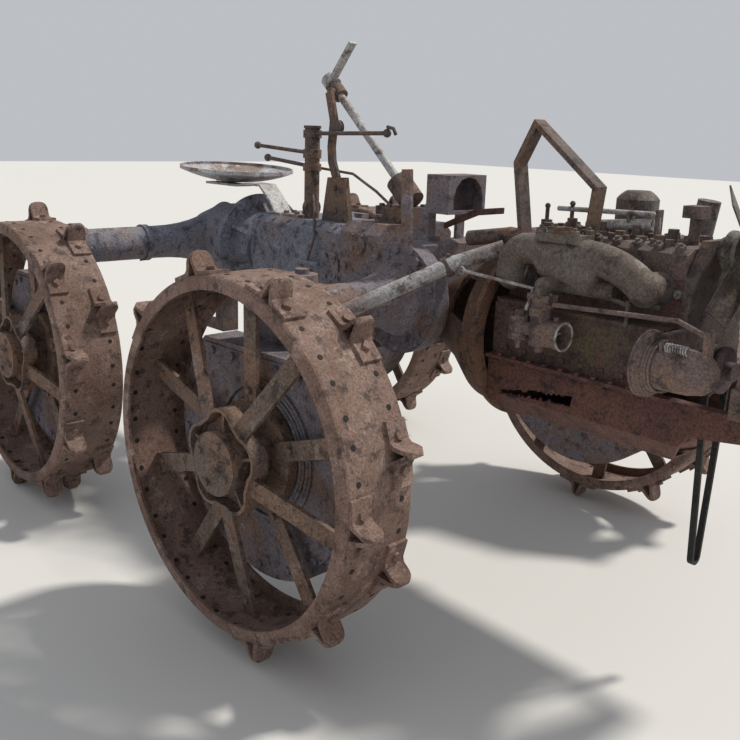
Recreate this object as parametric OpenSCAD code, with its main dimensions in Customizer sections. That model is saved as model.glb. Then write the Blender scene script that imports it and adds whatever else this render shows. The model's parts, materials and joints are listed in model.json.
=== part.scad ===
// Four-wheel-drive row-crop tractor of the 1930s on four equal steel wheels, as it stands in a yard:
// the fuel tank, the hood and most of the steering wheel are missing.
// X points forwards, Y to the left and Z up. Lengths are in millimetres.
// Inside the modules X is measured from the middle of the right front wheel's outer face, where it
// stands slightly steered, and Z from the height of the wheel axles.

/* [Layout] */
// Distance between the front and rear wheel axles
wheelbase = 1397; // [1372:5:1462]
// Distance between the middles of the left and right rims
tread = 1676; // [1660:4:1760]
// Height of the axle tubes above the wheel axles
axle_rise = 345; // [340:1:356]
// Height of the rear axle tubes above the wheel axles
rear_axle_rise = 380; // [370:1:386]
// Distance of the front axle tube behind the right front wheel's face
front_tube_back = 100; // [94:2:106]

/* [Wheels] */
// Radius of the rim band
rim_r = 482.6; // [470:0.2:490]
// Width of the rim band
rim_w = 216; // [204:2:220]
// Thickness of the rim band
rim_t = 8; // [6:0.5:10]
// Depth of the flanges at both edges of the rim
flange_h = 38; // [28:1:44]
// Height of a folded lug above the rim band
lug_h = 68; // [56:1:74]
// Width of a lug across the rim
lug_w = 62; // [50:1:68]
// Thickness of the strap that each lug is folded from
lug_t = 9; // [7:0.5:11]
// Length of a lug with its two bolted feet
lug_len = 160; // [140:2:170]
// Lug places in each of the two rows
lugs_per_row = 10; // [10:1:10]
// Distance of a lug's middle from the edge of the rim
lug_inset = 40; // [36:1:50]
// Turn of the front wheels' lugs against those of the rear wheels
front_lug_turn = 13; // [10:1:15]
// Width of a flat spoke
spoke_w = 50; // [40:1:56]
// Thickness of a flat spoke
spoke_t = 12; // [9:0.5:14]
// Radius of the hub cap
hub_cap_r = 85; // [78:1:90]
// Reach of the hub cap in front of the rim
cap_reach = 16; // [10:1:22]
// Radius of the dome on the hub cap
dome_r = 40; // [34:1:46]
// Distance of the gear case's middle behind the wheel axle
pan_back = 20; // [10:1:24]
// Radius of the hub drum behind the spokes
drum_r = 150; // [140:1:160]
// Radius of the lobed ring between the outer spokes
ring_r = 144; // [138:1:148]
// Distance of the inner spokes from the outer edge of the rim
inner_spoke_y = 108; // [100:1:116]

/* [Drop gear cases] */
// Radius of the round gear case behind each wheel
pan_r = 370; // [340:2:380]
// Thickness of the gear case
pan_t = 110; // [100:1:112]
// Height of the flat top of the gear case above the wheel axle
pan_top = 265; // [250:1:268]
// Distance of the gear case from the outer edge of the rim
case_inset = 144; // [142:1:150]
// Radius of the spindle that carries a wheel
spindle_r = 32; // [26:1:38]
// Play between a turning piece and what carries it
play = 0.3; // [0.2:0.05:0.5]
// Gap between moving pieces that face each other
gap = 6; // [5:0.5:8]

/* [Front axle] */
// Distance of each kingpin inwards from the outer edge of the rim
kingpin_inset = 346; // [342:1:354]
// Distance of each kingpin behind its wheel's axle
kingpin_lead = 82; // [76:1:88]
// Steering of the front wheels to the left, as they stand
steer_rest = 3; // [0:0.5:6]
// Radius of a kingpin
kingpin_r = 20; // [16:1:24]
// Radius of the round boss that holds a kingpin
kingpin_boss_r = 70; // [62:1:72]
// Radius of the axle tubes
tube_r = 64; // [56:1:66]
// Radius of the bolted flange where a front tube meets the case
front_flange_r = 170; // [160:1:172]
// Length of the steering arms
steer_arm = 200; // [180:2:220]
// Height of the steering arms above the wheel axle
steer_arm_rise = 112; // [100:1:124]
// Radius of the tie rod
tie_r = 15; // [12:1:18]
// Radius of the pins at the ends of the tie rod
tie_pin_r = 11; // [9:1:13]

/* [Cases] */
// Length of the clutch housing
clutch_len = 290; // [270:2:300]
// Largest radius of the clutch housing
clutch_r = 255; // [245:1:262]
// Wall of the clutch housing
clutch_wall = 14; // [10:1:18]
// Height of the crankshaft above the wheel axles
crank_rise = 285; // [280:1:292]
// Length of the transmission case
trans_len = 400; // [380:2:410]
// Width of the transmission case
trans_w = 340; // [320:2:350]
// Length of the rear case in front of the swivel ring
rear_case_len = 640; // [600:5:660]
// Width of the rear case
rear_case_w = 264; // [240:2:280]
// Height of the top of the rear case above the wheel axles
rear_case_top = 522; // [510:1:530]
// Height of the bottom of the rear case above the wheel axles
rear_case_low = 258; // [250:1:270]
// Radius of the swivel ring
swivel_r = 104; // [98:1:110]
// Radius of the big flange of the rear axle
rear_flange_r = 205; // [195:1:215]
// Length of the ribbed carrier between swivel ring and flange
carrier_len = 60; // [54:1:68]

/* [Engine] */
// Distance of the back of the engine in front of the front wheel axle
engine_x = 246; // [240:1:252]
// Length of the engine block
engine_len = 534; // [524:1:540]
// Width of the crankcase
crankcase_w = 364; // [350:2:370]
// Width of the upper block
block_w = 250; // [240:2:260]
// Height of the flange between crankcase and frame above the wheel axles
sump_rise = 240; // [236:1:244]
// Height of the crankcase
crankcase_h = 158; // [150:1:164]
// Height of the upper block
block_h = 112; // [106:1:118]
// Height of the cylinder head
head_h = 74; // [66:1:80]
// Width of the cylinder head
head_w = 236; // [220:2:240]
// Depth of the formed frame below the engine
frame_h = 175; // [168:1:180]
// Wall of the formed frame
frame_t = 9; // [7:0.5:12]
// Radius of the exhaust pipes
exhaust_r = 41; // [34:1:44]
// Radius of the air intake of the carburettor
intake_r = 36; // [32:1:40]
// Wall of the air intake
intake_wall = 5; // [3:0.5:7]
// Radius of the fan
fan_r = 205; // [190:1:212]
// Height of the fan shaft above the wheel axles
fan_rise = 578; // [574:1:582]
// Radius of the fan shaft
fan_shaft_r = 11; // [9:1:14]
// Room for the fan between the engine and the radiator
fan_room = 211; // [205:1:240]
// Width of the radiator
radiator_w = 470; // [440:5:480]
// Depth of the radiator core
radiator_t = 76; // [70:1:84]

/* [Seat and controls] */
// Width of the seat
seat_w = 460; // [400:5:470]
// Depth of the dished seat
seat_dip = 46; // [36:1:54]
// Thickness of the seat pan
seat_t = 5; // [4:0.5:7]
// Width of the seat spring
spring_w = 76; // [66:1:84]
// Thickness of the seat spring
spring_t = 9; // [7:0.5:11]
// Radius of the lever post
post_r = 27; // [22:1:30]
// Height of the lever post
post_h = 319; // [295:2:335]
// Radius of the steering shaft
shaft_r = 14; // [11:1:16]
// Length of the steering shaft
shaft_len = 500; // [480:5:520]
// Tilt of the steering shaft from the horizontal
shaft_tilt = 41.5; // [39:0.5:43]
// Radius of the hole for the drawbar pin
pin_hole_r = 13.5; // [11:0.5:16]
// Thickness of the drawbar
drawbar_t = 25; // [20:1:30]

/* [Hidden] */
$fn = 48;

// Heights and reaches that follow from the lugs, which carry the tractor on their tips
lug_step = 360 / lugs_per_row;
half_step = lug_step / 4;
fold_r = lug_t;
axle_z = (rim_r + lug_h) * cos(half_step);
front_lug_h = axle_z / cos(front_lug_turn - half_step) - rim_r;
wheel_face_y = tread / 2 + rim_w / 2;
kingpin_y = wheel_face_y - kingpin_inset;

// Stations along the tractor, from the front wheel axle
front_tube_x = -front_tube_back;
front_axle_x = front_tube_x + kingpin_lead;
clutch_x = engine_x - clutch_len;
joint_x = clutch_x - trans_len;
ring_x = joint_x - rear_case_len;
drawbar_top = 170;
bell_x = ring_x - carrier_len;
front_flange_y = trans_w / 2 + 70;
bell_neck_r = 118;
rear_tube_x = front_axle_x - wheelbase;
engine_front_x = engine_x + engine_len;
radiator_foot = 8;
radiator_x = engine_front_x + fan_room;
nose_reach = radiator_x + radiator_t + radiator_foot;

// Shifts that bring the middle of the whole tractor to the origin
shift_x = (axle_z - rear_tube_x - nose_reach) / 2;
hub_reach = cap_reach + dome_r * 0.7;
front_hub_y = kingpin_y + kingpin_lead * sin(steer_rest) + (kingpin_inset + hub_reach) * cos(steer_rest);
shift_y = (wheel_face_y + hub_reach - front_hub_y) / 2;

// Low end of the steering shaft
shaft_low_x = -340;
shaft_low_z = 658;

// Round joints of bent bars stand this much proud of the bars
joint_swell = 1.04;

// Heights above the wheel axles
trans_top = 486;
spring_rise = 96;
box_base = 545;
deck_rise = sump_rise + crankcase_h;
head_rise = deck_rise + block_h;
head_top = head_rise + head_h;
intake_z = deck_rise + 68;

// Bottom of the groove in the crankshaft pulley, where the belt hangs
belt_seat_r = 50;

// Place of the carburettor
carb_x = engine_x + 216;
carb_y = -block_w / 2 - 130;
carb_mouth_x = carb_x + 76;
carb_top = intake_z - 30;

// Places along the wheel axle, measured inwards from the outer edge of the rim
case_face = case_inset;
drum_back = case_face - gap;
case_back = case_face + 12 + pan_t;
gear_face_y = wheel_face_y - case_back;
tube_end = gear_face_y - 34;

rust = [0.45, 0.33, 0.28];
rust_dark = [0.32, 0.24, 0.21];
rust_orange = [0.55, 0.33, 0.20];
case_grey = [0.38, 0.36, 0.38];
manifold_grey = [0.43, 0.41, 0.38];
frame_brown = [0.36, 0.20, 0.16];

module place() {
    translate([shift_x, shift_y, axle_z]) children();
}

// Sets a shape at point a with its Z axis towards b
module aim(a, b) {
    v = b - a;
    translate(a) rotate([0, acos(v[2] / norm(v)), atan2(v[1], v[0])]) children();
}

// A round bar between two points
module bar(a, b, r) {
    aim(a, b) cylinder(r = r, h = norm(b - a));
}

// A run of round bars with round joints through a list of points
module bent_bar(points, r) {
    for (i = [0 : len(points) - 2]) bar(points[i], points[i + 1], r);
    for (i = [1 : len(points) - 2]) translate(points[i]) sphere(r = r * joint_swell);
}

// An outline of [Y, Z] points drawn out along X
module along_x(x0, x1) {
    translate([x0, 0, 0]) rotate([90, 0, 90]) linear_extrude(x1 - x0) children();
}

// An outline of [X, Z] points drawn out along Y
module along_y(y0, y1) {
    translate([0, y1, 0]) rotate([90, 0, 0]) linear_extrude(y1 - y0) children();
}

// Line beside a list of [X, Z] points, at distance d to their left
function beside(points, d) = [for (i = [0 : len(points) - 1]) let (
    p = points[i],
    n = len(points) - 1,
    u = i == 0 ? points[1] - p : p - points[i - 1],
    v = i == n ? u : points[i + 1] - p,
    a = u / norm(u),
    b = v / norm(v))
    p + [-a[1] - b[1], a[0] + b[0]] * d / (1 + a * b)];

function reversed(list) = [for (i = [len(list) - 1 : -1 : 0]) list[i]];

// A flat strap of thickness t through a list of [X, Z] points
module strap(points, t, y0, y1) {
    along_y(y0, y1) polygon(concat(beside(points, t / 2), reversed(beside(points, -t / 2))));
}

// A turned shape about an axis along X, from [radius, X] points
module turned_x(z) {
    translate([0, 0, z]) rotate([0, 90, 0]) rotate([0, 0, 180]) rotate_extrude() children();
}

// A copy on each side of the tractor
module both_sides() {
    children();
    mirror([0, 1, 0]) children();
}

// Points of an arc about [x, y], from angle a0 to a1
function arc(x, y, r, a0, a1, steps) =
    [for (i = [0 : steps]) let (a = a0 + (a1 - a0) * i / steps) [x + r * cos(a), y + r * sin(a)]];

// Height of the band's surface s beside the middle of a lug
function band_at(s) = sqrt(rim_r * rim_r - s * s);

// Side of a lug: a strap that lies on the band, rises to a fold and comes down to a second foot
module lug_side(h) {
    half = lug_len / 2;
    heel = 27;
    t = lug_t;
    top = rim_r + h - fold_r;
    difference() {
        polygon(concat([[half, band_at(half) - 2], [half, band_at(half) + t], [heel + 4, band_at(heel) + t],
            [heel - 6, band_at(heel) + t + 8]], arc(0, top, fold_r, 15, 165, 4),
            [[6 - heel, band_at(heel) + t + 8], [-heel - 4, band_at(heel) + t], [-half, band_at(half) + t],
            [-half, band_at(half) - 2], [0, rim_r - 3]]));
        polygon([[12 - heel, rim_r - 1], [heel - 12, rim_r - 1], [1.5, top - t], [-1.5, top - t]]);
    }
}

// One folded lug with its width from z0 - lug_w / 2, its fold rounded off at both ends
module lug(z0, h) {
    corner = 24;
    top = rim_r + h;
    half = lug_len / 2;
    translate([0, 0, z0 - lug_w / 2]) intersection() {
        linear_extrude(lug_w) lug_side(h);
        rotate([0, 90, 0]) translate([0, 0, -half - 1]) linear_extrude(lug_len + 2)
            polygon(concat([[0, rim_r - 12]], arc(-corner, top - corner, corner, 0, 90, 3),
                arc(corner - lug_w, top - corner, corner, 90, 180, 3), [[-lug_w, rim_r - 12]]));
    }
}

// Rim of one wheel, axis along Z and outer edge at Z = 0; outer and inner = the lugs left in each row
module rim(outer, inner, h = lug_h, turn = 0) {
    roll = 12;
    color(rust) union() {
        rotate_extrude($fn = 72) polygon(concat([[rim_r - flange_h, 0]],
            arc(rim_r - roll, -roll, roll, 90, 0, 3), arc(rim_r - roll, roll - rim_w, roll, 0, -90, 3),
            [[rim_r - flange_h, -rim_w], [rim_r - flange_h, rim_t - rim_w], [rim_r - rim_t, rim_t - rim_w],
            [rim_r - rim_t, -rim_t], [rim_r - flange_h, -rim_t]]));
        for (k = outer) rotate([0, 0, 90 + half_step + turn + k * lug_step]) lug(-lug_inset, h);
        for (k = inner) rotate([0, 0, 90 - half_step + turn + k * lug_step]) lug(lug_inset - rim_w, h);
    }
}

// The five-lobed outline of the ring between hub and outer spokes, nearly straight between its lobes
module lobed(grow) {
    lobe_r = 62;
    flat = 122 + grow;
    side = 40;
    polygon([for (k = [0 : 4]) for (a = [-1, 1]) let (t = 54 + k * 72, o = atan2(a * side, flat))
        norm([flat, side]) * [cos(t + o), sin(t + o)]]);
    for (k = [0 : 4]) rotate(18 + k * 72) translate([ring_r - lobe_r, 0]) circle(r = lobe_r + grow);
}

// Hub with its domed cap, lobed ring, drum and the two sets of flat spokes
module spider() {
    ring_wall = 9;
    ring_depth = 42;
    web_t = 10;
    bore_end = 58;
    seat_r = rim_r - rim_t - play;
    outer_y = 22;
    ledge = 5;
    color(rust_dark) difference() {
        union() {
            translate([0, 0, -inner_spoke_y - 12]) cylinder(r = hub_cap_r - ledge, h = inner_spoke_y + 12 + 1);
            cylinder(r = hub_cap_r, h = cap_reach);
            translate([0, 0, hub_reach - dome_r]) sphere(r = dome_r);
            for (k = [0 : 3]) rotate(65 + k * 90) translate([60, 0, cap_reach - 1])
                cylinder(r = 10, h = 10, $fn = 6);
            translate([0, 0, -drum_back]) cylinder(r = drum_r, h = drum_back - inner_spoke_y);
            translate([0, 0, -ring_depth - web_t]) linear_extrude(web_t) lobed(0);
            translate([0, 0, -ring_depth]) linear_extrude(ring_depth - 4) difference() {
                lobed(0);
                lobed(-ring_wall);
            }
            for (k = [0 : 4]) rotate(18 + k * 72) translate([hub_cap_r - ledge - 4, -4, -ring_depth])
                cube([ring_r - hub_cap_r + ledge, 8, ring_depth - 16]);
            intersection() {
                union() for (k = [0 : 4]) {
                    rotate([0, 0, 54 + k * 72]) bar_spoke(ring_r - 30, outer_y);
                    rotate([0, 0, 18 + k * 72]) bar_spoke(drum_r - 30, inner_spoke_y);
                }
                translate([0, 0, -rim_w]) cylinder(r = seat_r, h = rim_w, $fn = 72);
            }
        }
        translate([0, 0, -drum_back - 1]) cylinder(r = spindle_r + play, h = drum_back - bore_end + 1);
    }
}

// A flat spoke from radius r0 at depth y0 to the middle of the rim
module bar_spoke(r0, y0) {
    run = rim_r - r0;
    drop = inner_spoke_y - y0;
    translate([r0, 0, -y0]) rotate([0, atan2(drop, run), 0])
        translate([0, -spoke_w / 2, -spoke_t / 2]) cube([norm([run, drop]), spoke_w, spoke_t]);
}

// Puts a wheel-side shape, axis along Z, on the right side of the tractor
module right_side(x) {
    translate([x, -wheel_face_y, 0]) rotate([90, 0, 0]) children();
}

module wheel_place(x, left) {
    if (left) mirror([0, 1, 0]) right_side(x) children();
    else right_side(x) children();
}

// Outline of the gear case, a circle with a flat top
module pan_outline(r, top) {
    intersection() {
        translate([-pan_back, 0]) circle(r = r, $fn = 72);
        translate([-2 * r, -2 * r]) square([4 * r, 2 * r + top]);
    }
}

// Turns a front wheel's pieces about their kingpin, as the wheel stands
module steered(left) {
    y = left ? kingpin_y : -kingpin_y;
    translate([front_tube_x, y, 0]) rotate([0, 0, steer_rest]) translate([-front_tube_x, -y, 0]) children();
}

// Round gear case with a flat top, its bolted cover, the boss round the drum and the wheel spindle
module gear_case_body() {
    cover_t = 12;
    rim_in = 15;
    difference() {
        union() {
            translate([0, 0, -case_back]) linear_extrude(pan_t) pan_outline(pan_r, pan_top);
            translate([0, 0, -case_face - cover_t - 1]) linear_extrude(5)
                pan_outline(pan_r - rim_in, pan_top - rim_in);
            translate([0, 0, -case_face - cover_t]) cylinder(r = 196, h = cover_t);
            for (k = [0 : 12]) translate([-pan_back, 0, 0]) rotate(140 + k * 260 / 12)
                translate([pan_r - 32, 0, -case_face - cover_t]) cylinder(r = 11, h = 13, $fn = 6);
            for (x = [-230, -140, -50, 50, 140, 210]) translate([x, pan_top - 32, -case_face - cover_t])
                cylinder(r = 11, h = 13, $fn = 6);
        }
        translate([0, 0, -case_face - 5]) difference() {
            cylinder(r = 184, h = 6);
            translate([0, 0, -1]) cylinder(r = 170, h = 8);
        }
    }
    translate([0, 0, -case_face - 1]) cylinder(r = spindle_r, h = case_face - 60);
}

// Neck of a rear gear case, from the round case up to the axle tube, with a bolted collar
module rear_neck() {
    neck_w = 250;
    top_w = 190;
    collar_t = gear_face_y - tube_end;
    neck = [[-neck_w / 2, pan_top - 20], [neck_w / 2, pan_top - 20], [top_w / 2, rear_axle_rise + 82],
        [-top_w / 2, rear_axle_rise + 82]];
    translate([0, 0, -case_back]) linear_extrude(case_back - rim_w - gap) polygon(neck);
    translate([0, 0, -case_back]) linear_extrude(pan_t) intersection() {
        polygon(neck);
        circle(r = rim_r - flange_h - gap, $fn = 72);
    }
    translate([0, rear_axle_rise, -case_back - collar_t]) cylinder(r = tube_r + 24, h = collar_t + 2);
    for (k = [0 : 5]) translate([0, rear_axle_rise, -case_back - collar_t - 9]) rotate(k * 60)
        translate([tube_r + 12, 0, 0]) cylinder(r = 8, h = 10, $fn = 6);
}

module rear_gear_case(left) {
    color(rust) place() wheel_place(rear_tube_x, left) {
        gear_case_body();
        rear_neck();
    }
}

// Steered gear case: yoke round the kingpin boss, kingpin and steering arm
module front_gear_case(left) {
    yoke_w = 170;
    yoke_out = kingpin_inset - kingpin_boss_r - gap;
    yoke_t = 26;
    arm_t = 28;
    top_z = axle_rise + kingpin_boss_r + gap;
    low_z = axle_rise - kingpin_boss_r - gap;
    to_pin = kingpin_inset;
    color(rust) place() steered(left) wheel_place(front_axle_x, left) {
        gear_case_body();
        translate([-kingpin_lead, 0, 0]) {
            translate([0, 0, -yoke_out]) linear_extrude(yoke_t) polygon([[-yoke_w / 2 - 30, pan_top - 20],
                [yoke_w / 2 + 30, pan_top - 20], [yoke_w / 2, top_z + arm_t], [-yoke_w / 2, top_z + arm_t]]);
            for (z = [low_z - arm_t, top_z]) translate([0, z, -to_pin]) rotate([-90, 0, 0]) union() {
                cylinder(r = 44, h = arm_t);
                translate([-44, -to_pin + yoke_out - yoke_t, 0]) cube([88, to_pin - yoke_out + yoke_t, arm_t]);
            }
            translate([0, low_z - arm_t, -to_pin]) rotate([-90, 0, 0])
                cylinder(r = kingpin_r, h = top_z - low_z + 2 * arm_t + 14);
            steering_arm(to_pin);
        }
    }
}

// Arm that runs backwards from the gear case, with the tie rod's pin at its end
module steering_arm(to_pin) {
    arm_h = 22;
    pin_top = 20;
    translate([0, steer_arm_rise, -to_pin]) rotate([-90, 0, 0]) {
        translate([-steer_arm, 0, 0]) cylinder(r = 24, h = arm_h);
        translate([-steer_arm, -20, 0]) cube([steer_arm + 60, 40, arm_h]);
        translate([0, -to_pin + case_back - 2, 0]) cube([60, to_pin - case_back + 4, arm_h]);
        translate([-steer_arm, 0, 0]) cylinder(r = tie_pin_r, h = arm_h + tie_r * 2 + 6);
    }
}

// Tie rod with an eye at each end, over the pins of the steering arms
module tie_rod() {
    eye_r = 24;
    z = steer_arm_rise + 22 + play;
    x = front_tube_x - steer_arm * cos(steer_rest);
    ends = [for (side = [-1, 1]) side * kingpin_y - steer_arm * sin(steer_rest)];
    color(rust_dark) place() difference() {
        union() {
            bar([x, ends[0], z + tie_r + 1], [x, ends[1], z + tie_r + 1], tie_r);
            for (y = ends) translate([x, y, z]) cylinder(r = eye_r, h = 2 * tie_r + 2);
        }
        for (y = ends) translate([x, y, z - 1]) cylinder(r = tie_pin_r + play, h = 2 * tie_r + 4);
    }
}

// Half of an axle tube, as [radius, distance from the middle] points: flange, bell and straight tube
function flare(y0, y1, r0, r1, steps) =
    [for (i = [0 : steps]) let (t = i / steps) [r1 + (r0 - r1) * pow(1 - t, 2.2), y0 + (y1 - y0) * t]];

module front_axle_housing() {
    flange_t = 25;
    flange_y = front_flange_y - flange_t;
    flare_end = kingpin_y - 170;
    color(rust) place() both_sides() translate([front_tube_x, 0, axle_rise]) rotate([90, 0, 0])
        difference() {
            union() {
                rotate_extrude() polygon(concat([[0, flange_y], [front_flange_r, flange_y],
                    [front_flange_r, flange_y + flange_t]],
                    flare(flange_y + flange_t, flare_end, front_flange_r - 52, tube_r, 6),
                    [[tube_r, kingpin_y - 20], [0, kingpin_y - 20]]));
                translate([0, -kingpin_boss_r, kingpin_y]) rotate([-90, 0, 0])
                    cylinder(r = kingpin_boss_r, h = 2 * kingpin_boss_r);
            }
            translate([0, -kingpin_boss_r - 1, kingpin_y]) rotate([-90, 0, 0])
                cylinder(r = kingpin_r + play, h = 2 * kingpin_boss_r + 2);
        }
}

// Rear axle: a bell with its bolted flange and ribbed carrier, and a tube out to each gear case
module rear_axle_housing() {
    flange_t = 24;
    collar_y = 385;
    flare_end = 330;
    bell_z = axle_rise + 30;
    color(case_grey) place() union() {
        turned_x(bell_z) polygon([[0, bell_x], [rear_flange_r, bell_x], [rear_flange_r, bell_x - flange_t],
            [rear_flange_r - 26, bell_x - flange_t], [rear_flange_r - 44, bell_x - 120],
            [rear_flange_r - 58, rear_tube_x], [110, rear_tube_x - 120], [0, rear_tube_x - 150]]);
        both_sides() translate([rear_tube_x, 0, rear_axle_rise]) rotate([90, 0, 0]) {
            rotate_extrude() polygon(concat([[0, 0]], flare(0, flare_end, 150, tube_r, 6),
                [[tube_r, tube_end], [0, tube_end]]));
            translate([0, 0, collar_y - 12]) cylinder(r = tube_r + 7, h = 24);
        }
        turned_x(bell_z) polygon([[0, bell_x], [rear_flange_r - 70, bell_x],
            [swivel_r + 14, ring_x - 20], [swivel_r + 14, ring_x], [0, ring_x]]);
        for (k = [0 : 5]) translate([0, 0, bell_z]) rotate([k * 60, 0, 0]) carrier_rib();
        for (k = [0 : 11]) translate([bell_x - 1, 0, bell_z]) rotate([15 + k * 30, 0, 0])
            translate([0, rear_flange_r - 16, 0]) rotate([0, 90, 0]) cylinder(r = 11, h = 13, $fn = 6);
        translate([rear_tube_x - 45, -50, drawbar_top]) cube([90, 100, rear_axle_rise - drawbar_top]);
    }
}

// Rib of the carrier, from the swivel ring to the edge of the big flange
module carrier_rib() {
    rotate([90, 0, 0]) translate([0, 0, -7]) linear_extrude(14) polygon([[bell_x - 1, 60],
        [bell_x - 1, rear_flange_r - 34], [bell_x + 8, rear_flange_r - 34], [ring_x - 4, swivel_r + 12],
        [ring_x - 4, 60]]);
}

// Rear case between the swivel ring and the transmission case
module rear_case() {
    w = rear_case_w / 2;
    round_in = 26;
    color(case_grey) place() union() {
        along_x(ring_x + 60, joint_x - 20) polygon([[-w, rear_case_low], [w, rear_case_low],
            [w, rear_case_top - round_in], [w - round_in, rear_case_top], [round_in - w, rear_case_top],
            [-w, rear_case_top - round_in]]);
        turned_x(axle_rise + 30) polygon([[0, ring_x], [swivel_r, ring_x], [swivel_r, ring_x + 34],
            [swivel_r - 10, ring_x + 34], [swivel_r + 10, ring_x + 62], [0, ring_x + 62]]);
        case_cover();
    }
}

// Upright plate with a round blank disc, where the rear case meets the transmission case
module joint_plate() {
    w = trans_w / 2 - 8;
    color(rust) place() union() {
        along_x(joint_x - 20, joint_x) polygon([[-w, rear_case_low - 30], [w, rear_case_low - 30],
            [w, rear_case_top - 12], [w - 30, rear_case_top + 18], [30 - w, rear_case_top + 18],
            [-w, rear_case_top - 12]]);
    }
}

// Cover with its T-handle on the right side of the rear case
module case_cover() {
    w = rear_case_w / 2;
    x0 = joint_x - 219;
    x1 = joint_x - 54;
    z0 = rear_case_low + 74;
    z1 = rear_case_low + 172;
    xm = x0 + 43;
    zm = z0 + 53;
    along_y(-w - 10, -w + 1) polygon([[x0, z0], [x1, z0], [x1, z1 - 20], [x1 - 24, z1], [x0 + 30, z1],
        [x0, z1 - 26]]);
    bar([xm, -w - 8, zm], [xm, -w - 48, zm], 6);
    bar([xm - 66, -w - 50, zm - 2], [xm + 66, -w - 50, zm + 2], 7);
}

// Transmission case with the round seats of the front axle tubes and a domed top
module transmission_case() {
    w = trans_w / 2;
    low = 196;
    seat_y = front_flange_y - 25;
    neck_clear = w + 14;
    tower = w - 6;
    color(rust) place() union() {
        along_x(joint_x, joint_x + 180) polygon([[-tower, trans_top - 90], [tower, trans_top - 90],
            [tower, box_base - 34], [tower - 34, box_base], [34 - tower, box_base], [-tower, box_base - 34]]);
        along_y(-tower - 8, -tower + 1) translate([joint_x + 79, trans_top - 10]) circle(r = 34);
        translate([joint_x + 104, -110, box_base - 1]) cylinder(r = 9, h = 22);
        translate([joint_x + 104, -110, box_base + 20]) cylinder(r = 14, h = 8);
        along_x(joint_x, clutch_x) polygon([[-w + 30, low], [w - 30, low], [w, low + 40], [w, trans_top - 70],
            [w - 50, trans_top], [50 - w, trans_top], [-w, trans_top - 70], [-w, low + 40]]);
        both_sides() {
            intersection() {
                translate([front_tube_x, 0, axle_rise]) rotate([90, 0, 0])
                    cylinder(r = front_flange_r, h = neck_clear);
                translate([joint_x, -neck_clear - 1, low]) cube([clutch_x - joint_x, neck_clear, 400]);
            }
            translate([front_tube_x, -neck_clear, axle_rise]) rotate([90, 0, 0])
                cylinder(r = front_flange_r, h = seat_y - neck_clear);
        }
    }
}

// Outside of the bell of the clutch housing
module bell_outside() {
    turned_x(crank_rise) polygon([[0, clutch_x], [bell_neck_r, clutch_x], [bell_neck_r + 44, clutch_x + 90],
        [clutch_r - 18, engine_x - 90], [clutch_r - 6, engine_x - 16], [clutch_r + 8, engine_x - 16],
        [clutch_r + 8, engine_x], [0, engine_x]]);
}

// Clutch housing, a bell that opens forwards, with the large broken opening in its right side
module clutch_housing() {
    w = clutch_wall;
    color(rust_orange) place() difference() {
        bell_outside();
        turned_x(crank_rise) polygon([[0, clutch_x + 30], [bell_neck_r - w, clutch_x + 30],
            [bell_neck_r + 44 - w, clutch_x + 96], [clutch_r - 18 - w, engine_x - 90],
            [clutch_r - 18 - w, engine_x + 1], [0, engine_x + 1]]);
        translate([clutch_x + 90, -clutch_r - 10, crank_rise + 30]) cube([130, 170, 120]);
        translate([clutch_x + 120, -60, crank_rise - clutch_r - 10]) cube([70, 120, 60]);
    }
}

// Open box on two legs behind the clutch housing that carried the tank
module hood_bracket() {
    x0 = front_tube_x + 2;
    x1 = x0 + 93;
    y0 = -130;
    y1 = 34;
    z0 = 600;
    z1 = z0 + 115;
    t = 7;
    foot = axle_rise + front_flange_r;
    color(rust) place() difference() {
        union() {
            translate([x0, y0, z0]) cube([x1 - x0, y1 - y0, z1 - z0]);
            for (y = [y0, y1 - 34]) translate([x0, y, foot - 10]) cube([t + 5, 34, z0 - foot + 14]);
            along_y(y0, y0 + t) polygon([[x0 + 12, z0 + 39], [x0 - 53, z0 - 25], [x0 - 53, foot + 6],
                [x0 + 8, foot + 6]]);
            translate([x0 - 70, y0, foot - 10]) cube([82, 56, 20]);
            translate([x0 - 46, y0 + 32, foot + 9]) cylinder(r = 12, h = 11, $fn = 6);
        }
        translate([x0 + t, y0 + t, z0 - 1]) cube([x1 - x0 - 2 * t, y1 - y0 - 2 * t, z1 - z0 - t + 1]);
        along_x(x1 - t - 1, x1 + 1) polygon(concat([[y0 + 23, z0 + 11], [y1 - 12, z0 + 11]],
            arc((y0 + y1 + 11) / 2, z0 + 46, (y1 - y0 - 35) / 2, 0, 180, 6)));
        translate([front_tube_x, 200, axle_rise]) rotate([90, 0, 0]) cylinder(r = front_flange_r, h = 400);
    }
}

module hood_strap() {
    y = -125;
    x = engine_x + 41;
    z = head_top;
    color(rust_dark) place() difference() {
        strap([[x, z - 12], [x - 33, z + 180], [x + 23, z + 284], [x + 228, z + 128], [x + 213, z - 12]], 14,
            y - 22, y + 22);
        along_x(engine_x, engine_front_x) head_section();
    }
}

// Water pipe at the back of the cylinder head, open where its hose is missing
module water_outlet() {
    r = 22;
    y = -96;
    z = head_top - r;
    mouth = [engine_x - 168, -120, head_top - 44];
    bend = [engine_x - 34, y, z];
    depth = 44;
    color(rust_dark) place() {
        bar([engine_x + 2, y, z], bend, r);
        translate(bend) rotate([0, 90, 0]) sphere(r = r * joint_swell);
        aim(bend, mouth) difference() {
            cylinder(r = r, h = norm(mouth - bend));
            translate([0, 0, norm(mouth - bend) - depth]) cylinder(r = r - 5, h = depth + 1);
        }
    }
}

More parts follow.
